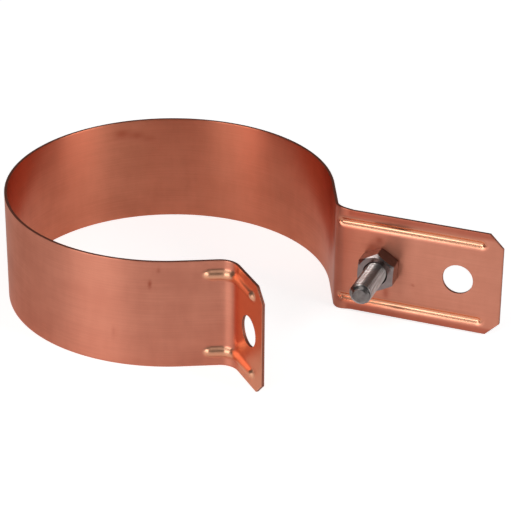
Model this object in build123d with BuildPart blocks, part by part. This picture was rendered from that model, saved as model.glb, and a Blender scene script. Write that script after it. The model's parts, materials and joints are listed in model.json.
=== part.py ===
from build123d import *
import os
from math import cos, radians, sin, tan

# Lightning protection pipe clamp: one sprung copper strip with two folded
# flanges, closed by a stainless hexagon bolt and nut.
# Z runs along the pipe. The origin is on the pipe's axis, level with the
# strip's lower edge. X runs outwards along the long flange.
# All four grooves are pressed from the ring's inner face: the long flange shows
# their hollows in front, and the short one their ridges.

# Strip, in millimetres and degrees
sheet_t = 1.0
strip_w = 40.5
ring_inner_r = 58.0
ring_end_deg = 296.0
draw_in_from = 1.0
draw_in_run = 5.0

# Long flange, with the distances measured from its fold unless named otherwise
long_bend_deg = 66.0
long_bend_r = 4.0
long_straight = 18.9
long_flange = 60.7
long_corner_cut = 5.0
long_draw_in = 0.6
terminal_from_end = 15.8
terminal_hole_d = 11.0
bolt_at = 16.7
bolt_clearance = 0.5

# Short flange, with the distances measured from its fold
short_bend_deg = 71.0
short_bend_r = 6.5
short_straight = 18.0
short_flange = 25.0
short_corner_cut = 4.6
short_draw_in = 0.1
closing_at = 14.1
closing_hole_d = 11.0

# Stiffening grooves, pressed as a round channel with a wall of even thickness
groove_w = 4.2
groove_depth = 1.2
groove_from_edge = 5.1
long_groove_from = 0.9
long_groove_to = 54.5
short_groove_from = -9.3
short_groove_to = 18.7

# Bolt and nut
thread_d = 8.0
thread_play = 0.05
bolt_length = 25.0
bolt_point = 0.9
head_flats = 13.0
head_h = 5.3
head_turn_deg = 10.0
nut_flats = 13.0
nut_h = 6.5
nut_turn_deg = 32.8
nut_countersink = 0.5
hex_face_share = 0.95
hex_chamfer_deg = 30.0

# Distance of the terminal hole from the fold
terminal_at = long_flange - terminal_from_end

# Middle of the sheet
ring_mid_r = ring_inner_r + sheet_t / 2
long_bend_mid_r = long_bend_r + sheet_t / 2
short_bend_mid_r = short_bend_r + sheet_t / 2


def heading(degrees):
    """Unit vector in plan, turned by this angle from X."""
    return Vector(cos(radians(degrees)), sin(radians(degrees)))


def right_of(direction):
    """Unit vector to the right of a direction in plan."""
    return Vector(direction.Y, -direction.X)


# Directions and folds, walking out from the ring
ring_start_deg = 90.0 - long_bend_deg
long_in = heading(-long_bend_deg)
long_out = heading(0)
long_fold = heading(ring_start_deg) * ring_mid_r + long_in * long_straight
short_in = heading(ring_end_deg + 90.0)
short_out = heading(ring_end_deg + 90.0 - short_bend_deg)
short_fold = heading(ring_end_deg) * ring_mid_r + short_in * short_straight

# Planes of the flanges: origin on the fold, at the middle of the strip's width,
# local X along the flange, local Z out of its front
mid_height = Vector(0, 0, strip_w / 2)
long_plane = Plane(
    origin=long_fold + mid_height, x_dir=long_out, z_dir=right_of(long_out)
)
short_plane = Plane(
    origin=short_fold + mid_height, x_dir=short_out, z_dir=right_of(short_out)
)

# Round channel: the hollow's radius and how far its axis lies from the sheet's middle
groove_r = (groove_w**2 / 4 + groove_depth**2) / (2 * groove_depth)
ridge_r = groove_r + sheet_t
groove_axis = sheet_t / 2 + groove_r - groove_depth
tool_depth = groove_axis + ridge_r
groove_levels = (groove_from_edge, strip_w - groove_from_edge)


def beside(fold, inward, outward, offset, start, end, radius, level):
    """Path parallel to the sheet's middle, to its right if the offset is positive."""
    normal_in = right_of(inward)
    normal_out = right_of(outward)
    corner = (normal_in + normal_out) * (offset / (1 + normal_in.dot(normal_out)))
    lift = Vector(0, 0, level)
    return FilletPolyline(
        fold + inward * start + normal_in * offset + lift,
        fold + corner + lift,
        fold + outward * end + normal_out * offset + lift,
        radius=radius,
    )


def round_bar(path, radius):
    """Round bar along a path, with a ball at each end."""
    with BuildPart() as bar:
        with BuildLine():
            add(path)
        with BuildSketch(Plane(origin=path @ 0, z_dir=path % 0)):
            Circle(radius)
        sweep()
        with Locations(path @ 0, path @ 1):
            Sphere(radius)
    return bar.part


def long_path(offset, start, end, level):
    """Path beside the long flange, whose front is outside its bend."""
    radius = long_bend_mid_r + offset
    return beside(long_fold, long_in, long_out, offset, start, end, radius, level)


def short_path(offset, start, end, level):
    """Path beside the short flange, whose front is inside its bend."""
    radius = short_bend_mid_r - offset
    return beside(short_fold, short_in, short_out, offset, start, end, radius, level)


def long_groove_line(level):
    """Axis of a groove on the long flange, which ends before the bend."""
    lift = Vector(0, 0, level)
    base = long_fold + right_of(long_out) * groove_axis + lift
    return Line(
        base + long_out * (long_groove_from + groove_w / 2),
        base + long_out * (long_groove_to - groove_w / 2),
    )


def short_groove_line(level):
    """Axis of a groove on the short side, which runs round the bend."""
    start = short_groove_from + groove_w / 2
    end = short_groove_to - groove_w / 2
    return short_path(-groove_axis, start, end, level)


def hollow_side(path):
    """Space on the hollows' side of a flange, as deep as the ridge tool reaches."""
    with BuildPart() as space:
        with BuildSketch():
            with BuildLine():
                add(path)
            trace(line_width=tool_depth)
        extrude(amount=strip_w)
    return space.part


def flange_waste(plane, length, corner_cut, draw_in):
    """Waste beside a flange: its drawn-in edges and its two cut corners."""
    edge = strip_w / 2
    drawn = edge - draw_in
    beyond = edge + sheet_t
    with BuildPart() as waste:
        with BuildSketch(plane):
            with BuildLine():
                Polyline(
                    (draw_in_from, edge),
                    (draw_in_from + draw_in_run, drawn),
                    (length - corner_cut, drawn),
                    (length, drawn - corner_cut),
                    (length + sheet_t, drawn - corner_cut),
                    (length + sheet_t, beyond),
                    (draw_in_from, beyond),
                    close=True,
                )
            make_face()
            mirror(about=Plane.XZ)
        extrude(amount=ridge_r, both=True)
    return waste.part


# Clamp strip: ring, straights, folds and flanges in one sheet
tool_middle = sheet_t / 2 + tool_depth / 2
long_hollows = hollow_side(
    long_path(tool_middle, -long_straight / 2, long_flange, 0)
)
short_hollows = hollow_side(
    short_path(-tool_middle, short_groove_from - groove_w, short_flange, 0)
)
long_waste = flange_waste(long_plane, long_flange, long_corner_cut, long_draw_in)
short_waste = flange_waste(short_plane, short_flange, short_corner_cut, short_draw_in)
groove_lines = [long_groove_line(level) for level in groove_levels]
groove_lines += [short_groove_line(level) for level in groove_levels]

with BuildPart() as clamp_band:
    with BuildSketch():
        with BuildLine():
            FilletPolyline(
                long_fold + long_out * long_flange,
                long_fold,
                heading(ring_start_deg) * ring_mid_r,
                radius=long_bend_mid_r,
            )
            CenterArc(
                (0, 0), ring_mid_r, ring_start_deg, ring_end_deg - ring_start_deg
            )
            FilletPolyline(
                heading(ring_end_deg) * ring_mid_r,
                short_fold,
                short_fold + short_out * short_flange,
                radius=short_bend_mid_r,
            )
        trace(line_width=sheet_t)
    extrude(amount=strip_w)
    for line in groove_lines:
        add(round_bar(line, ridge_r))
    add(long_hollows, mode=Mode.SUBTRACT)
    add(short_hollows, mode=Mode.SUBTRACT)
    for line in groove_lines:
        add(round_bar(line, groove_r), mode=Mode.SUBTRACT)
    add(long_waste, mode=Mode.SUBTRACT)
    add(short_waste, mode=Mode.SUBTRACT)
    with BuildSketch(long_plane):
        with Locations((terminal_at, 0)):
            Circle(terminal_hole_d / 2)
        with Locations((bolt_at, 0)):
            Circle(thread_d / 2 + bolt_clearance)
    extrude(amount=ridge_r, both=True, mode=Mode.SUBTRACT)
    with BuildSketch(short_plane):
        with Locations((closing_at, 0)):
            Circle(closing_hole_d / 2)
    extrude(amount=ridge_r, both=True, mode=Mode.SUBTRACT)

# Bolt and nut: their axis runs through the long flange, from the head behind
# it to the point in front
bolt_dir = right_of(long_out)
bolt_centre = long_fold + long_out * bolt_at + mid_height
head_seat = bolt_centre - bolt_dir * (sheet_t / 2)
nut_seat = bolt_centre + bolt_dir * (sheet_t / 2)
head_plane = Plane(origin=head_seat, x_dir=long_out, z_dir=-bolt_dir)
head_section = Plane(origin=head_seat, x_dir=-bolt_dir, z_dir=(0, 0, 1))
shank_section = Plane(origin=head_seat, x_dir=bolt_dir, z_dir=(0, 0, 1))
nut_plane = Plane(origin=nut_seat, x_dir=long_out, z_dir=bolt_dir)
nut_section = Plane(origin=nut_seat, x_dir=bolt_dir, z_dir=(0, 0, 1))
bolt_axis = Axis(origin=bolt_centre, direction=bolt_dir)
shank_r = thread_d / 2 - thread_play


def chamfered(face_r, height, both_ends):
    """Outline of a turned hexagon: the corners fall away from each round face."""
    reach = height
    drop = reach * tan(radians(hex_chamfer_deg))
    if both_ends:
        middle = height / 2
        rise = middle / tan(radians(hex_chamfer_deg))
        points = [(0, face_r), (middle, face_r + rise), (height, face_r), (height, 0)]
    else:
        points = [(0, face_r + reach), (height - drop, face_r + reach)]
        points += [(height, face_r), (height, 0)]
    return Polyline((0, 0), *points, close=True)


# Bolt: hexagon head behind the flange and a plain shank that carries the thread
with BuildPart() as hex_bolt:
    with BuildSketch(head_plane):
        RegularPolygon(
            radius=head_flats / 2,
            side_count=6,
            major_radius=False,
            rotation=head_turn_deg,
        )
    extrude(amount=head_h)
    with BuildSketch(head_section):
        with BuildLine():
            chamfered(head_flats / 2 * hex_face_share, head_h, False)
        make_face()
    revolve(axis=bolt_axis, mode=Mode.INTERSECT)
    with BuildSketch(shank_section):
        with BuildLine():
            Polyline(
                (0, 0),
                (0, shank_r),
                (bolt_length - bolt_point, shank_r),
                (bolt_length, shank_r - bolt_point),
                (bolt_length, 0),
                close=True,
            )
        make_face()
    revolve(axis=bolt_axis)

# Nut: hexagon chamfered on both faces, with its bore countersunk at both ends
with BuildPart() as hex_nut:
    with BuildSketch(nut_plane):
        RegularPolygon(
            radius=nut_flats / 2,
            side_count=6,
            major_radius=False,
            rotation=nut_turn_deg,
        )
    extrude(amount=nut_h)
    with BuildSketch(nut_section):
        with BuildLine():
            chamfered(nut_flats / 2 * hex_face_share, nut_h, True)
        make_face()
    revolve(axis=bolt_axis, mode=Mode.INTERSECT)
    with BuildSketch(nut_section):
        with BuildLine():
            Polyline(
                (0, 0),
                (0, thread_d / 2 + nut_countersink),
                (nut_countersink, thread_d / 2),
                (nut_h - nut_countersink, thread_d / 2),
                (nut_h, thread_d / 2 + nut_countersink),
                (nut_h, 0),
                close=True,
            )
        make_face()
    revolve(axis=bolt_axis, mode=Mode.SUBTRACT)

os.makedirs("parts", exist_ok=True)

clamp_band.part.label = "clamp_band"
export_step(clamp_band.part, "parts/clamp_band.step")

hex_bolt.part.label = "hex_bolt"
export_step(hex_bolt.part, "parts/hex_bolt.step")

hex_nut.part.label = "hex_nut"
export_step(hex_nut.part, "parts/hex_nut.step")
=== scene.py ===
import json

import bpy
import numpy as np
from mathutils import Matrix, Vector


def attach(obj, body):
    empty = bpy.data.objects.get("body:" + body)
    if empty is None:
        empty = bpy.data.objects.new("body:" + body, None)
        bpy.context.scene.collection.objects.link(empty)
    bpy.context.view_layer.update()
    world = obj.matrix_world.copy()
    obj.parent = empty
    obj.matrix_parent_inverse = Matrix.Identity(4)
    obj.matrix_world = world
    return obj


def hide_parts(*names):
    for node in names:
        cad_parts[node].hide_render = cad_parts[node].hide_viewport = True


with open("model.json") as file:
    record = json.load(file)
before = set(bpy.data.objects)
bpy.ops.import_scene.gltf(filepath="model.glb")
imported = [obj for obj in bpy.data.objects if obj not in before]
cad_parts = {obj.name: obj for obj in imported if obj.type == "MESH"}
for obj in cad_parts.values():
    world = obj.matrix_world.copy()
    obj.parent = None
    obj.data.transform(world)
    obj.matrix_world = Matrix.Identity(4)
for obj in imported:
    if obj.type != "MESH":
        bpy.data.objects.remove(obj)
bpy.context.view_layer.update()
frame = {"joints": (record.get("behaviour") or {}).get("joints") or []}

# Lightning protection pipe clamp: a sprung copper strip with two folded flanges,
# and a stainless bolt and nut. Lengths are millimetres until metres() turns them.

# Strip, walked from the end of the long flange to the end of the short one
strip_w = 40.5
sheet_t = 1.0
edge_round = 0.13
ring_mid_r = 58.5
ring_start_deg = 24.0
ring_end_deg = 296.0
draw_in_from = 1.0
draw_in_run = 5.0

# Long flange, measured from its fold, and its terminal hole from its end
long_bend_deg = 66.0
long_bend_mid_r = 4.5
long_straight = 18.9
long_flange = 60.7
long_corner_cut = 5.0
long_draw_in = 0.6
terminal_from_end = 15.8
terminal_hole_r = 5.5
bolt_at = 16.7
bolt_hole_r = 4.5

# Short flange, measured from its fold
short_bend_deg = 71.0
short_bend_mid_r = 7.0
short_straight = 18.0
short_flange = 25.0
short_corner_cut = 4.6
short_draw_in = 0.1
closing_at = 14.1
closing_hole_r = 5.5

# Pressed grooves: two tangent arcs from the bottom of the groove to the flat sheet.
# An end's softness is below 1 where it runs out more gently than the groove's side.
# They were fitted to the photographed highlights, and differ a little from the solid's.
groove_level = 14.9
groove_depth = 1.05
groove_bottom_r = 1.7
groove_lip_r = 2.2
long_groove_from = 2.2
long_groove_to = 52.4
long_groove_softness = (0.8, 0.9)
short_groove_from = -7.2
short_groove_to = 16.6
short_groove_softness = (0.62, 0.8)
short_groove_share = 1.2

# Bolt and nut
thread_r = 4.0
thread_play = 0.05
pitch = 1.25
thread_depth = 0.72
bolt_length = 25.0
bolt_point = 1.4
flats = 13.0
head_h = 5.3
head_turn_deg = 10.0
nut_h = 6.5
nut_turn_deg = 32.8
nut_countersink = 0.5
chamfer_deg = 30.0
chamfer_share = 0.95

# Photograph's view: distances in millimetres from the frame's origin
camera_at = (284.66, -664.07, 388.48)
camera_azimuth_deg = 20.75
camera_pitch_deg = 27.526
camera_roll_deg = -0.428
focal_px = 2241.66
frame_px = 512
sensor_mm = 36.0


def metres(points):
    """Millimetres to metres."""
    return np.asarray(points, float) * 0.001


def heading(degrees):
    """Unit vector in plan, turned by this angle from X."""
    return np.array([np.cos(np.radians(degrees)), np.sin(np.radians(degrees))])


def ramp(value, start, run):
    """0 before start, 1 after start + run, straight between."""
    return np.clip((value - start) / run, 0.0, 1.0)


# Runs of the centre line: length, and turn to the left in degrees
long_tangent = long_bend_mid_r * np.tan(np.radians(long_bend_deg / 2))
short_tangent = short_bend_mid_r * np.tan(np.radians(short_bend_deg / 2))
ring_deg = ring_end_deg - ring_start_deg
runs = np.array(
    [
        (long_flange - long_tangent, 0.0),
        (long_bend_mid_r * np.radians(long_bend_deg), -long_bend_deg),
        (long_straight - long_tangent, 0.0),
        (ring_mid_r * np.radians(ring_deg), ring_deg),
        (short_straight - short_tangent, 0.0),
        (short_bend_mid_r * np.radians(short_bend_deg), -short_bend_deg),
        (short_flange - short_tangent, 0.0),
    ]
)
run_length, run_turn = runs[:, 0], np.radians(runs[:, 1])
run_end = np.cumsum(run_length)
run_start = run_end - run_length
run_curve = run_turn / run_length
run_heading = np.pi + np.cumsum(run_turn) - run_turn
long_fold = heading(ring_start_deg) * ring_mid_r
long_fold = long_fold + heading(-long_bend_deg) * long_straight


def chord(length, curve, start_heading):
    """Chord of an arc: its length times sinc of half its turn, at its middle heading."""
    half = curve * length / 2
    reach = length * np.sinc(half / np.pi)
    middle = start_heading + half
    return reach[..., None] * np.stack([np.cos(middle), np.sin(middle)], -1)


run_origin = long_fold + heading(0) * long_flange
run_origin = run_origin + np.vstack(
    [np.zeros(2), np.cumsum(chord(run_length, run_curve, run_heading), 0)[:-1]]
)


def centre_line(s):
    """Point in plan and heading at distance s.

    The point is the start of the run that s is in, plus the chord of the arc walked so far.
    """
    run = np.clip(np.searchsorted(run_end, s), 0, len(runs) - 1)
    walked = s - run_start[run]
    point = run_origin[run] + chord(walked, run_curve[run], run_heading[run])
    return point, run_heading[run] + run_curve[run] * walked


# Places along the strip. The short flange's own distances start from short_fold
strip_length = run_end[-1]
long_bend_from, long_bend_to = run_end[0], run_end[1]
ring_from, ring_to = run_end[2], run_end[3]
short_bend_from, short_bend_to = run_end[4], run_end[5]
short_fold = short_bend_to - short_tangent
terminal_s = terminal_from_end
bolt_s = long_flange - bolt_at
closing_s = short_fold + closing_at


def half_width(s):
    """Half the strip's width, less the flanges' drawn-in edges and the 45 degree corner cuts."""
    drawn = long_draw_in * ramp(long_flange - s, draw_in_from, draw_in_run)
    drawn = drawn + short_draw_in * ramp(s - short_fold, draw_in_from, draw_in_run)
    cut = np.maximum(long_corner_cut - s, 0.0)
    cut = cut + np.maximum(short_corner_cut - (strip_length - s), 0.0)
    return strip_w / 2 - drawn - cut


# Groove section: the bottom arc and the lip arc share one slope where they meet
groove_slope = np.arccos(1 - groove_depth / (groove_bottom_r + groove_lip_r))
groove_reach = (groove_bottom_r + groove_lip_r) * np.sin(groove_slope)
groove_join = groove_bottom_r * np.sin(groove_slope)


def groove_section(q):
    """Depth at distance q from the groove's axis: groove depth less the bottom arc's rise.

    Past the join it is the lip arc's remaining height above the flat sheet.
    """
    inner = np.minimum(q, groove_join)
    bottom = groove_depth - groove_bottom_r + np.sqrt(groove_bottom_r**2 - inner**2)
    outer = np.clip(groove_reach - q, 0.0, groove_reach - groove_join)
    lip = groove_lip_r - np.sqrt(groove_lip_r**2 - outer**2)
    return np.where(q < groove_join, bottom, lip)


# Grooves: start and end of the axis along the strip, softness of both ends, share of the depth.
# The short side's start lies before its fold, so it is counted back from the bend's other side.
grooves = [
    (long_flange - long_groove_to, long_flange - long_groove_from, long_groove_softness, 1.0),
    (
        short_bend_from + short_tangent + short_groove_from,
        short_fold + short_groove_to,
        short_groove_softness,
        short_groove_share,
    ),
]


def pressed(s, z):
    """Offset of the sheet's middle to the right: each groove's section at the distance to its axis.

    Past an end the distance along the strip is multiplied by the end's softness.
    """
    offset = np.zeros(np.broadcast(s, z).shape)
    for start, end, (start_softness, end_softness), share in grooves:
        before = np.maximum(start - s, 0.0) * start_softness
        after = np.maximum(s - end, 0.0) * end_softness
        across = np.abs(z) - groove_level
        offset = offset + share * groove_section(np.hypot(before + after, across))
    return offset


def strip_point(s, z):
    """Point of the sheet's middle: the centre line moved right by the pressed depth, at z."""
    point, turned = centre_line(s)
    right = np.stack([np.sin(turned), -np.cos(turned)], -1)
    plan = point + right * pressed(s, z)[..., None]
    return np.concatenate([plan, (z + strip_w / 2)[..., None]], -1)


def stations(*spans):
    """Stations along spans of (end, step), each divided evenly into steps no longer than asked."""
    made = [np.array([spans[0][0]])]
    for (start, _), (end, step) in zip(spans[:-1], spans[1:]):
        count = max(1, int(np.ceil((end - start) / step - 1e-9)))
        made.append(np.linspace(start, end, count + 1)[1:])
    return np.concatenate(made)


# Grid of the strip, closer at grooves, bends and holes. Each hole sits in a square patch
patch = 6.2
patch_step = 0.5
groove_band = 3.3
hole_rings = 8
hole_ring_power = 0.8
columns = stations(
    (0.0, 0),
    (long_corner_cut, 0.6),
    (terminal_s - patch, 0.35),
    (terminal_s + patch, patch_step),
    (bolt_s - patch, 1.0),
    (bolt_s + patch, patch_step),
    (long_bend_from, 0.35),
    (long_bend_to, 0.3),
    (ring_from, 1.2),
    (ring_to, 1.0),
    (short_bend_from, 0.35),
    (short_bend_to, 0.3),
    (closing_s - patch, 0.4),
    (closing_s + patch, patch_step),
    (strip_length - short_corner_cut, 0.35),
    (strip_length, 0.6),
)
upper_levels = stations(
    (patch, 0),
    (groove_level - groove_band, 1.2),
    (groove_level + groove_band, 0.3),
    (strip_w / 2, 0.9),
)
patch_levels = stations((-patch, 0), (patch, patch_step))[1:-1]
levels = np.concatenate([-upper_levels[::-1], patch_levels, upper_levels])


def strip_mesh():
    """Points, faces and flat places of the sheet's middle, on a grid of stations and levels.

    Above and below the patches, levels are squeezed to the strip's own width at each station.
    Round a hole the patch's cells give way to rings of vertices: each is the square's edge
    blended with the circle, with the share of the circle growing from ring to ring.
    """
    s, z = np.meshgrid(columns, levels, indexing="ij")
    squeeze = np.clip((np.abs(z) - patch) / (strip_w / 2 - patch), 0.0, 1.0)
    z_here = np.sign(z) * (np.abs(z) - squeeze * (strip_w / 2 - half_width(s)))
    flat = [np.stack([s, z_here], -1).reshape(-1, 2)]
    ids = np.arange(s.size).reshape(s.shape)
    cells = np.stack([ids[:-1, :-1], ids[1:, :-1], ids[1:, 1:], ids[:-1, 1:]], -1)
    keep = np.ones(cells.shape[:2], bool)
    shares = np.linspace(0, 1, hole_rings + 1)[1:, None, None] ** hole_ring_power
    ring_quads = []
    count = s.size
    for centre, radius in (
        (terminal_s, terminal_hole_r),
        (bolt_s, bolt_hole_r),
        (closing_s, closing_hole_r),
    ):
        i0, i1 = np.searchsorted(columns, (centre - patch - 1e-6, centre + patch - 1e-6))
        j0, j1 = np.searchsorted(levels, (-patch - 1e-6, patch - 1e-6))
        keep[i0:i1, j0:j1] = False
        loop = np.concatenate(
            [ids[i0:i1, j0], ids[i1, j0:j1], ids[i1:i0:-1, j1], ids[i0, j1:j0:-1]]
        )
        square = flat[0][loop] - (centre, 0.0)
        circle = radius * square / np.linalg.norm(square, axis=1, keepdims=True)
        rings = square * (1 - shares) + circle * shares + (centre, 0.0)
        flat.append(rings.reshape(-1, 2))
        ring_ids = count + np.arange(hole_rings * len(loop)).reshape(-1, len(loop))
        count += ring_ids.size
        rows = np.vstack([loop, ring_ids])
        ahead = np.roll(rows, -1, axis=1)
        ring_quads.append(np.stack([rows[:-1], ahead[:-1], ahead[1:], rows[1:]], -1).reshape(-1, 4))
    used, quads = np.unique(np.vstack([*ring_quads, cells[keep]]), return_inverse=True)
    flat = np.vstack(flat)[used]
    return strip_point(flat[:, 0], flat[:, 1]), quads.reshape(-1, 4).tolist(), flat


# Marks seen on the faces, among them painted shade: place along the strip, and across it from its
# middle, reach along and across, strength
# Painted shade round the nut, where it sits on the flange
nut_painted_shade = [
    (44.8, 10.0, 1.6, 1.2, 0.5),
    (41.8, -10.6, 1.2, 2.2, 0.55),
    (47.0, 6.5, 3.0, 2.0, 0.35),
]
flange_dots = [
    (32.2, -5.5, 0.5, 0.5, 0.7),
    (30.4, -8.0, 0.4, 0.4, 0.5),
    (36.4, -9.5, 0.4, 1.6, 0.35),
]
ring_stain = [
    (188.5, 15.6, 3.2, 2.0, 0.5),
    (182.5, 14.4, 3.0, 1.7, 0.4),
    (178.0, 12.6, 2.6, 1.2, 0.25),
]
back_nicks = [
    (346.4, 11.7, 0.5, 1.5, 0.9),
    (349.5, 17.0, 0.6, 1.0, 0.4),
    (334.0, -8.0, 0.6, 2.2, 0.3),
]
# Painted shade: darker across the long flange's fold
long_bend_painted_shade = [(61.5, 0.0, 5.0, 60.0, 0.45)]
# Painted shade: darker over a stretch of the ring's outer wall
ring_outer_painted_shade = [(292.0, 0.0, 24.0, 60.0, 0.12)]

# Redder margin of the long flange, beyond its grooves, and the short flange's face painted lighter:
# painted light standing in for the lit copper it mirrors
margin_share = 0.55
margin_level = 18.0
margin_blend = 1.2
margin_end_blend = 2.0
short_flange_painted_light_share = 0.28
short_flange_before = 2.0
short_flange_blend = 4.0
ring_blend = 10.0


def marked(marks, s, z):
    """Sum of soft round marks: strength times exp of minus the squared distance in reaches."""
    total = np.zeros(np.broadcast(s, z).shape)
    for at, across, reach_s, reach_z, strength in marks:
        squared = ((s - at) / reach_s) ** 2 + ((z - across) / reach_z) ** 2
        total = total + strength * np.exp(-squared)
    return np.clip(total, 0.0, 1.0)


def margin(s, z):
    """Share of the long flange's redder margin, fitted to the photograph. Its cause isn't known.

    A ramp up across the margin, times a ramp down towards the bend.
    """
    on_flange = 1.0 - ramp(s, long_bend_from - margin_end_blend, margin_end_blend)
    return margin_share * on_flange * ramp(np.abs(z), margin_level - margin_blend, margin_blend)


def make_piece(name, points, faces, materials):
    """Mesh object at the origin from points in millimetres and faces of any size."""
    mesh = bpy.data.meshes.new(name)
    mesh.from_pydata(metres(points), [], faces)
    mesh.shade_smooth()
    piece = bpy.data.objects.new(name, mesh)
    bpy.context.scene.collection.objects.link(piece)
    for material in materials:
        mesh.materials.append(material)
    return piece


def per_point(piece, name, values):
    """One number at each point of a piece, which its materials read under this name."""
    layer = piece.data.attributes.new(name, "FLOAT", "POINT")
    layer.data.foreach_set("value", np.ravel(values).astype(np.float32))


def linear(hex_colour):
    """sRGB hex to linear colour: c / 12.92 if dark, else ((c + 0.055) / 1.055) to the power 2.4."""
    c = np.array([int(hex_colour[i : i + 2], 16) for i in (1, 3, 5)]) / 255
    c = np.where(c <= 0.04045, c / 12.92, ((c + 0.055) / 1.055) ** 2.4)
    return (*c.tolist(), 1.0)


def add(tree, kind, inputs=(), **settings):
    """Adds a node with its settings. inputs pairs sockets with values or other nodes' outputs."""
    made = tree.nodes.new("ShaderNode" + kind)
    for name, value in settings.items():
        setattr(made, name, value)
    for socket, value in inputs:
        if isinstance(value, bpy.types.NodeSocket):
            tree.links.new(value, made.inputs[socket])
        else:
            made.inputs[socket].default_value = value
    return made


def new_material(name):
    """Empty node material, its tree and its surface socket."""
    material = bpy.data.materials.new(name)
    material.use_nodes = True
    tree = material.node_tree
    tree.nodes.clear()
    output = add(tree, "OutputMaterial")
    return material, tree, output.inputs["Surface"]


# Patterns of the rolled faces: length along the strip, width across it, finer detail.
# Rolling lines are finer than a pixel of the render, so the grain is drawn 0.5 mm wide.
# The clouds and the streaks across the strip were sized from the photograph.
rolled_patterns = {
    "grain": (30.0, 0.5, 4.0),
    "clouds": (16.0, 9.0, 4.0),
    "streaks": (3.0, 11.0, 3.0),
}
grain_share = 0.6
streak_share = 0.4
dull_below, bright_above = 0.75, 1.25
roughness_swing = 0.02
grain_height = 0.01
grain_strength = 0.12
lightening_from, lightening_full = 0.05, 0.4
# Colour of the marks, and of the painted shade among them
mark_and_shade_colour = "#A33E28"


def rolled_copper(
    name, bright, dull, glance, roughness, marks, groove_and_painted_light_tint, groove_and_painted_light_smoothing, ring_reflection_tint
):
    """Copper sheet, cold rolled and left bare.

    The rolls leave fine lines along the strip, so to the eye each lamp and its surroundings
    are drawn out across the strip into soft upright bands, on a satin metal that keeps its
    colour. Pressed places are lighter and smoother. The short flange's face takes the same
    lighter tone as painted light, and the ring's inner face is tinted redder as a painted
    reflection. Among the marks is painted shade round the nut, across the long fold and over
    the ring's outer wall. Both tones and all marks were fitted to the photograph, and the
    other causes aren't known.
    """
    material, tree, surface = new_material(name)
    place = add(tree, "UVMap", uv_map="strip")
    pattern = {}
    for kind, (along_mm, across_mm, detail) in rolled_patterns.items():
        scale = (1 / along_mm, 1 / across_mm, 1)
        spaced = add(tree, "Mapping", [("Vector", place.outputs[0]), ("Scale", scale)])
        noise = add(
            tree,
            "TexNoise",
            [("Vector", spaced.outputs[0]), ("Scale", 1.0), ("Detail", detail)],
            noise_dimensions="2D",
        )
        pattern[kind] = noise.outputs["Fac"]
    clouded = add(
        tree,
        "Math",
        [(0, pattern["streaks"]), (1, streak_share), (2, pattern["clouds"])],
        operation="MULTIPLY_ADD",
    )
    mixed = add(
        tree,
        "Math",
        [(0, pattern["grain"]), (1, grain_share), (2, clouded.outputs[0])],
        operation="MULTIPLY_ADD",
    )
    shade = add(
        tree,
        "MapRange",
        [("Value", mixed.outputs[0]), ("From Min", dull_below), ("From Max", bright_above)],
    )
    colour = add(
        tree,
        "Mix",
        [("Factor", shade.outputs[0]), ("A", linear(dull)), ("B", linear(bright))],
        data_type="RGBA",
    )
    rough = add(
        tree,
        "MapRange",
        [
            ("Value", mixed.outputs[0]),
            ("From Min", dull_below),
            ("From Max", bright_above),
            ("To Min", roughness + roughness_swing),
            ("To Max", roughness - roughness_swing),
        ],
    )
    relief = add(
        tree,
        "Bump",
        [
            ("Height", pattern["grain"]),
            ("Strength", grain_strength),
            ("Distance", metres(grain_height)),
        ],
    )
    # Pressed places take a lighter tone and are smoother; the short flange's face takes it too, as
    # painted light
    pressed_and_painted_light = add(tree, "Attribute", attribute_name="pressed")
    groove_tone_and_painted_light = add(
        tree,
        "MapRange",
        [
            ("Value", pressed_and_painted_light.outputs["Fac"]),
            ("From Min", lightening_from),
            ("From Max", lightening_full),
        ],
    )
    # On the ring the face is tinted redder: painted reflection, standing in for the copper
    # mirroring itself inside the ring
    on_ring = add(tree, "Attribute", attribute_name="ring_share")
    ring_reflection_toned = add(
        tree,
        "Mix",
        [
            ("Factor", on_ring.outputs["Fac"]),
            ("A", colour.outputs["Result"]),
            ("B", linear(ring_reflection_tint)),
        ],
        data_type="RGBA",
        blend_type="MULTIPLY",
    )
    lightened_toned = add(
        tree,
        "Mix",
        [
            ("Factor", groove_tone_and_painted_light.outputs[0]),
            ("A", ring_reflection_toned.outputs["Result"]),
            ("B", linear(groove_and_painted_light_tint)),
        ],
        data_type="RGBA",
    )
    mark_and_shade = add(tree, "Attribute", attribute_name=marks)
    mark_and_shade_toned = add(
        tree,
        "Mix",
        [
            ("Factor", mark_and_shade.outputs["Fac"]),
            ("A", lightened_toned.outputs["Result"]),
            ("B", linear(mark_and_shade_colour)),
        ],
        data_type="RGBA",
    )
    smoothed = add(
        tree,
        "Math",
        [(0, groove_tone_and_painted_light.outputs[0]), (1, -groove_and_painted_light_smoothing), (2, rough.outputs[0])],
        operation="MULTIPLY_ADD",
    )
    # The tangent runs along the strip, and a quarter turn draws the highlights out across it
    along = add(tree, "Tangent", direction_type="UV_MAP", uv_map="strip")
    shader = add(
        tree,
        "BsdfPrincipled",
        [
            ("Base Color", mark_and_shade_toned.outputs["Result"]),
            ("Metallic", 1.0),
            ("Specular Tint", linear(glance)),
            ("Roughness", smoothed.outputs[0]),
            ("Anisotropic", 0.8),
            ("Anisotropic Rotation", 0.25),
            ("Tangent", along.outputs[0]),
            ("Normal", relief.outputs[0]),
        ],
    )
    tree.links.new(shader.outputs[0], surface)
    return material


# Size of the cut edge's mottling
cut_mark = 10 / 9


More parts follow.
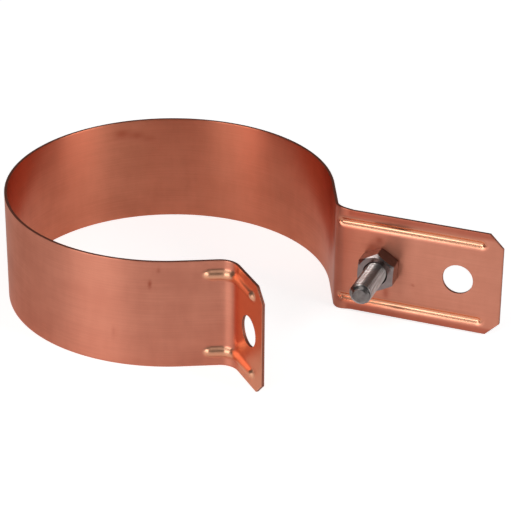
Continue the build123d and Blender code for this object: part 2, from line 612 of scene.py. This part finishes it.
def sheared_copper(name, tint, dark_tint):
    """Copper sheet's edge, left by shearing and punching.

    A torn edge mirrors nothing clearly, so it shows as a dull, darker line along the bright
    faces. Its mottling, about a millimetre across, is coarser than real tear marks, so that
    it shows in the render.
    """
    material, tree, surface = new_material(name)
    place = add(tree, "TexCoord")
    marks = add(
        tree,
        "TexNoise",
        [("Vector", place.outputs["Object"]), ("Scale", 1 / metres(cut_mark)), ("Detail", 2.0)],
    )
    colour = add(
        tree,
        "Mix",
        [("Factor", marks.outputs["Fac"]), ("A", linear(tint)), ("B", linear(dark_tint))],
        data_type="RGBA",
    )
    shader = add(
        tree,
        "BsdfPrincipled",
        [("Base Color", colour.outputs["Result"]), ("Metallic", 0.7), ("Roughness", 0.55)],
    )
    tree.links.new(shader.outputs[0], surface)
    return material


# Size of the steel's marks, how far they move its roughness, and its second and dark tones; the
# dark tone is painted shade in the thread's roots
steel_mark = 5 / 3
steel_smoother, steel_rougher = 0.05, 0.08
steel_second_tint = "#887B79"
thread_dark = "#1E1817"


def stainless(name, tint, roughness):
    """Stainless steel with a fine machined or rolled surface.

    To the eye it is a hard, fairly sharp mirror: small bright glints of the lamps beside dark
    reflections of the copper, broken a little by marks about 1.7 mm across, which are drawn
    coarser than real tool marks so that they show. The greys are darker than stainless steel
    usually is, the dark tone low in the thread is painted shade in its roots, and the same tone
    on the point has no known cause: all were fitted to the photograph.
    """
    material, tree, surface = new_material(name)
    place = add(tree, "TexCoord")
    marks = add(
        tree,
        "TexNoise",
        [("Vector", place.outputs["Object"]), ("Scale", 1 / metres(steel_mark)), ("Detail", 4.0)],
    )
    colour = add(
        tree,
        "Mix",
        [("Factor", marks.outputs["Fac"]), ("A", linear(tint)), ("B", linear(steel_second_tint))],
        data_type="RGBA",
    )
    rough = add(
        tree,
        "MapRange",
        [
            ("Value", marks.outputs["Fac"]),
            ("To Min", roughness - steel_smoother),
            ("To Max", roughness + steel_rougher),
        ],
    )
    root = add(tree, "Attribute", attribute_name="thread_root")
    darkened = add(
        tree,
        "Mix",
        [
            ("Factor", root.outputs["Fac"]),
            ("A", colour.outputs["Result"]),
            ("B", linear(thread_dark)),
        ],
        data_type="RGBA",
    )
    shader = add(
        tree,
        "BsdfPrincipled",
        [
            ("Base Color", darkened.outputs["Result"]),
            ("Metallic", 1.0),
            ("Roughness", rough.outputs[0]),
        ],
    )
    tree.links.new(shader.outputs[0], surface)
    return material


# Strip: the sheet's middle, thickened by half its thickness to both sides
outer_copper = rolled_copper(
    "rolled_copper_outer",
    bright="#E09178",
    dull="#D78870",
    glance="#FADFD4",
    roughness=0.37,
    marks="back_marks_and_painted_shade",
    groove_and_painted_light_tint="#EBAE8C",
    groove_and_painted_light_smoothing=0.05,
    ring_reflection_tint="#FFFFFF",
)
inner_copper = rolled_copper(
    "rolled_copper_inner",
    bright="#DB9078",
    dull="#D28870",
    glance="#FFF4EE",
    roughness=0.36,
    marks="front_marks_and_painted_shade",
    groove_and_painted_light_tint="#EFAE8C",
    groove_and_painted_light_smoothing=0.16,
    ring_reflection_tint="#FFEFE2",
)
edge_copper = sheared_copper("sheared_copper_edge", tint="#A86450", dark_tint="#8A5040")
points, quads, flat = strip_mesh()
strip = make_piece("copper_strip", points, quads, [outer_copper, inner_copper, edge_copper])
uv = strip.data.uv_layers.new(name="strip")
corners = np.zeros(len(strip.data.loops), int)
strip.data.loops.foreach_get("vertex_index", corners)
uv.data.foreach_set("uv", flat[corners].astype(np.float32).ravel())
s, z = flat[:, 0], flat[:, 1]
short_flange_painted_light = short_flange_painted_light_share * ramp(s, short_bend_to - short_flange_before, short_flange_blend)
# Inner face: marks, with painted shade round the nut and across the long fold
front_marks_and_painted_shade = marked(nut_painted_shade + flange_dots + ring_stain + long_bend_painted_shade, s, z)
# The pressed share also carries the short flange's painted light, so its face takes the lighter
# tone
per_point(strip, "pressed", np.maximum(pressed(s, z) / groove_depth, short_flange_painted_light))
per_point(strip, "front_marks_and_painted_shade", np.maximum(front_marks_and_painted_shade, margin(s, z)))
# Outer face: nicks, with painted shade over a stretch of the ring's wall
per_point(strip, "back_marks_and_painted_shade", marked(back_nicks + ring_outer_painted_shade, s, z))
per_point(strip, "ring_share", ramp(s, long_bend_to, ring_blend))
wall = strip.modifiers.new("thickness", "SOLIDIFY")
wall.thickness = metres(sheet_t)
wall.offset = 0
wall.use_even_offset = True
wall.material_offset = 1
wall.material_offset_rim = 2
rounding = strip.modifiers.new("edges", "BEVEL")
rounding.width = metres(edge_round)
rounding.segments = 2
rounding.limit_method = "ANGLE"
rounding.angle_limit = np.radians(60)
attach(strip, "band")
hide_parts("clamp_band")

# Bolt and nut: the axis is the joint's, from the head at the back to the point in front
hinge = next(joint for joint in frame["joints"] if joint["name"] == "bolt_turn")
bolt_x, bolt_y, bolt_z = (value * 1000 for value in hinge["pos_m"])
flange_back, flange_front = -sheet_t / 2, sheet_t / 2
hexagon_sharp_deg = 25
thread_sharp_deg = 50


def along_bolt(turn, radius, depth):
    """Cylinder coordinates round the bolt's axis to millimetres.

    Depth runs from the middle of the flange towards the point, which is along minus Y.
    """
    x = bolt_x + radius * np.cos(turn)
    z = bolt_z + radius * np.sin(turn)
    return np.stack([x, bolt_y - depth + 0 * turn, z], -1)


def turned_shell(turn, radius, depth, closed=False):
    """Outward faces over a grid of turned points, whose columns go round and close.

    A closed profile's last row meets its first. An open one's end rows are each covered by
    one flat face.
    """
    points = along_bolt(turn, radius, depth)
    ids = np.arange(turn.size).reshape(turn.shape)
    rows = np.vstack([ids, ids[:1]]) if closed else ids
    ahead = np.roll(rows, -1, axis=1)
    quads = np.stack([ahead[:-1], ahead[1:], rows[1:], rows[:-1]], -1).reshape(-1, 4)
    ends = [] if closed else [ids[0][::-1].tolist(), ids[-1].tolist()]
    return points.reshape(-1, 3), quads.tolist() + ends


# Hexagons: how sharp the corners are, and how the turns bunch towards them
corner_power = 90
side_steps = 24
side_bunching = 1.7
face_r = flats / 2 * chamfer_share
chamfer_slope = np.tan(np.radians(chamfer_deg))
face_ring = 0.15
mouth_ring = 0.1
pole_r = 0.01
head_ring_r = 2.0


def hexagon(turn, turned_by):
    """Distance to the wall of a hexagon with lightly rounded corners.

    It is half the width across flats over a high-power mean of the cosines to the six sides.
    """
    sides = np.radians(turned_by + 60.0 * np.arange(6))
    cosines = np.clip(np.cos(turn[..., None] - sides), 0.0, 1.0)
    return flats / 2 / (cosines**corner_power).sum(-1) ** (1 / corner_power)


def hexagon_turns(turned_by):
    """Turns round a hexagon, bunched at its corners, where the wall curves.

    From a side's middle to its corners the turn grows as 1 less a power of the share left.
    """
    share = np.linspace(-1, 1, side_steps + 1)[:-1]
    bunched = 30.0 * np.sign(share) * (1 - (1 - np.abs(share)) ** side_bunching)
    return np.radians((turned_by + 60.0 * np.arange(6)[:, None] + bunched).ravel())


def chamfered(turn, turned_by):
    """Wall of a hexagon, radius where its flat face ends, and the cone's drop from there to it."""
    wall = hexagon(turn, turned_by)
    drop = np.clip((wall - face_r) * chamfer_slope, 0.0, None)
    return wall, np.minimum(wall, face_r), drop


def nut_profile(turn, turned_by, near, far):
    """Rows from the bore over one face, down its chamfer and along the wall.

    They come back up the other chamfer and over the other face to the bore.
    """
    wall, face, drop = chamfered(turn, turned_by)
    bore = np.full_like(turn, thread_r)
    mouth = bore + nut_countersink
    radii = [bore, mouth, mouth + mouth_ring, face - face_ring, face, wall]
    radii += [wall, face, face - face_ring, mouth, bore]
    depths = [near + nut_countersink, near, near, near, near, near + drop]
    depths += [far - drop, far, far, far, far - nut_countersink]
    return np.array(radii), np.array([depth + 0 * turn for depth in depths])


def head_profile(turn, turned_by, near, far):
    """Rows from the pole over the back face, down its chamfer and the wall, to the other pole."""
    wall, face, drop = chamfered(turn, turned_by)
    radii = [pole_r, head_ring_r, face, wall, wall, thread_r, pole_r]
    depths = [near, near, near, near + drop, far, far, far]
    return (
        np.array([radius + 0 * turn for radius in radii]),
        np.array([depth + 0 * turn for depth in depths]),
    )


steel = stainless("machined_stainless_steel", tint="#A29492", roughness=0.19)

nut_turned_by = 90 - nut_turn_deg
nut_turns = hexagon_turns(nut_turned_by)
radii, depths = nut_profile(nut_turns, nut_turned_by, flange_front, flange_front + nut_h)
turns = np.broadcast_to(nut_turns, radii.shape)
points, quads = turned_shell(turns, radii, depths, closed=True)
nut = make_piece("stainless_nut", points, quads, [steel])
nut.data.set_sharp_from_angle(angle=np.radians(hexagon_sharp_deg))
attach(nut, "nut")
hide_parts("hex_nut")

head_turned_by = 90 - head_turn_deg
head_turns = hexagon_turns(head_turned_by)
radii, depths = head_profile(head_turns, head_turned_by, flange_back - head_h, flange_back)
turns = np.broadcast_to(head_turns, radii.shape)
points, quads = turned_shell(turns, radii, depths)
head = make_piece("stainless_bolt_head", points, quads, [steel])
head.data.set_sharp_from_angle(angle=np.radians(hexagon_sharp_deg))
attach(head, "bolt")

# Thread: its wave is steeper than a plain triangle and clipped to leave flat crests and roots.
# Its dark tone, painted shade in the roots, starts at a share of the depth and grows over another
# share.
crest_r = thread_r - thread_play
thread_tip = bolt_length + flange_back
thread_steepness = 1.9
thread_root_flat = 0.35
turn_steps = 72
rows_a_turn = 20
tip_rings = (0.8, 0.4, 0.002)
dark_from = 0.33
dark_run = 0.12
point_dark = 0.6


def thread_radius(turn, depth):
    """Right-hand thread: a clipped triangle wave of depth less turn, inside the point's cone."""
    phase = (depth / pitch - turn / (2 * np.pi)) % 1.0
    wave = np.clip(thread_steepness * np.abs(2 * phase - 1) - thread_root_flat, 0.0, 1.0)
    threaded = crest_r - thread_depth * (1 - wave)
    return np.minimum(threaded, crest_r - bolt_point + (thread_tip - depth))


turn_grid = np.linspace(0, 2 * np.pi, turn_steps, endpoint=False)
depth_rows = np.arange(flange_back, thread_tip + 1e-6, pitch / rows_a_turn)
turns, depths = np.meshgrid(turn_grid, depth_rows)
radii = thread_radius(turns, depths)
radii = np.vstack([radii, radii[-1] * np.array(tip_rings)[:, None]])
depths = np.vstack([depths, np.full((len(tip_rings), turn_steps), depth_rows[-1])])
turns = np.broadcast_to(turn_grid, radii.shape)
points, quads = turned_shell(turns, radii, depths)
thread_steel = stainless("rolled_stainless_thread", tint="#F0E8E4", roughness=0.22)
shank = make_piece("stainless_bolt_thread", points, quads, [thread_steel])
shank.data.set_sharp_from_angle(angle=np.radians(thread_sharp_deg))
# Painted shade low in the thread's roots; the point takes the same dark tone
root_painted_shade = ramp(crest_r - radii, dark_from * thread_depth, dark_run * thread_depth)
on_point = depths >= depth_rows[-1] - bolt_point
per_point(shank, "thread_root", np.where(on_point, point_dark, root_painted_shade))
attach(shank, "bolt")
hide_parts("hex_bolt")


def floor_material(seen_by_camera, seen_in_metal):
    """Pale matt floor that keeps the object's soft shadow.

    Its own faint glow lifts it towards white where the camera or the metal sees it.
    """
    material, tree, surface = new_material("pale_floor")
    path = add(tree, "LightPath")
    camera_lift = add(
        tree,
        "Math",
        [(0, path.outputs["Is Camera Ray"]), (1, seen_by_camera)],
        operation="MULTIPLY",
    )
    mirrored = add(
        tree,
        "Math",
        [(0, path.outputs["Is Glossy Ray"]), (1, path.outputs["Is Transmission Ray"])],
        operation="MAXIMUM",
    )
    lift = add(
        tree,
        "Math",
        [(0, mirrored.outputs[0]), (1, seen_in_metal), (2, camera_lift.outputs[0])],
        operation="MULTIPLY_ADD",
    )
    matt = add(tree, "BsdfDiffuse", [("Color", (0.8, 0.8, 0.8, 1))])
    glow = add(tree, "Emission", [("Color", (1, 1, 1, 1)), ("Strength", lift.outputs[0])])
    both = add(tree, "AddShader", [(0, matt.outputs[0]), (1, glow.outputs[0])])
    tree.links.new(both.outputs[0], surface)
    return material


# Floor, level with the strip's lower edge
floor_size = 60000.0
corner = floor_size / 2
floor_points = [(x * corner, y * corner, 0) for x, y in ((-1, -1), (1, -1), (1, 1), (-1, 1))]
pale_floor = floor_material(seen_by_camera=0.74, seen_in_metal=0.36)
floor = make_piece("floor", floor_points, [(0, 1, 2, 3)], [pale_floor])

# Light: a dim white world, and softboxes aimed at lit_centre
world_strength = 0.1
lit_centre = (30, -10, 20)
world = bpy.data.worlds.new("studio")
world.use_nodes = True
world.node_tree.nodes["Background"].inputs["Color"].default_value = (1, 1, 1, 1)
world.node_tree.nodes["Background"].inputs["Strength"].default_value = world_strength
bpy.context.scene.world = world


def softbox(name, right_deg, up_deg, distance, width, height, radiance):
    """Area lamp aimed at the object, right_deg to the right of the camera's own direction.

    Its power is radiance times its area times pi.
    """
    lamp = bpy.data.lights.new(name, "AREA")
    lamp.shape = "RECTANGLE"
    lamp.size, lamp.size_y = metres(width), metres(height)
    lamp.energy = radiance * lamp.size * lamp.size_y * np.pi
    turn = np.radians(camera_azimuth_deg + right_deg)
    up = np.radians(up_deg)
    away = Vector((np.sin(turn) * np.cos(up), -np.cos(turn) * np.cos(up), np.sin(up)))
    box = bpy.data.objects.new(name, lamp)
    box.location = Vector(metres(lit_centre)) + away * metres(distance)
    box.rotation_euler = away.to_track_quat("Z", "Y").to_euler()
    bpy.context.scene.collection.objects.link(box)


# Direction, distance and size of each lamp, and how bright its face is
softbox("softbox_left", -48, 18, 1500, 950, 800, 3.3)
softbox("softbox_right", 68, 20, 1500, 850, 1000, 4.1)
softbox("softbox_above", -20, 64, 1500, 1200, 900, 0.8)

# Camera, placed and turned as solved from the photograph
camera_data = bpy.data.cameras.new("camera")
camera_data.lens = focal_px / frame_px * sensor_mm
camera_data.sensor_width = sensor_mm
camera = bpy.data.objects.new("camera", camera_data)
bpy.context.scene.collection.objects.link(camera)
azimuth, pitch_down, roll = np.radians([camera_azimuth_deg, camera_pitch_deg, camera_roll_deg])
forward = np.array(
    [
        -np.sin(azimuth) * np.cos(pitch_down),
        np.cos(azimuth) * np.cos(pitch_down),
        -np.sin(pitch_down),
    ]
)
level_right = np.array([np.cos(azimuth), np.sin(azimuth), 0.0])
level_down = np.cross(forward, level_right)
right = np.cos(roll) * level_right + np.sin(roll) * level_down
down = np.cross(forward, right)
rotation = Matrix(np.column_stack([right, -down, -forward]).tolist())
camera.matrix_world = Matrix.Translation(metres(camera_at)) @ rotation.to_4x4()
bpy.context.scene.camera = camera
bpy.context.scene.view_settings.view_transform = "Standard"
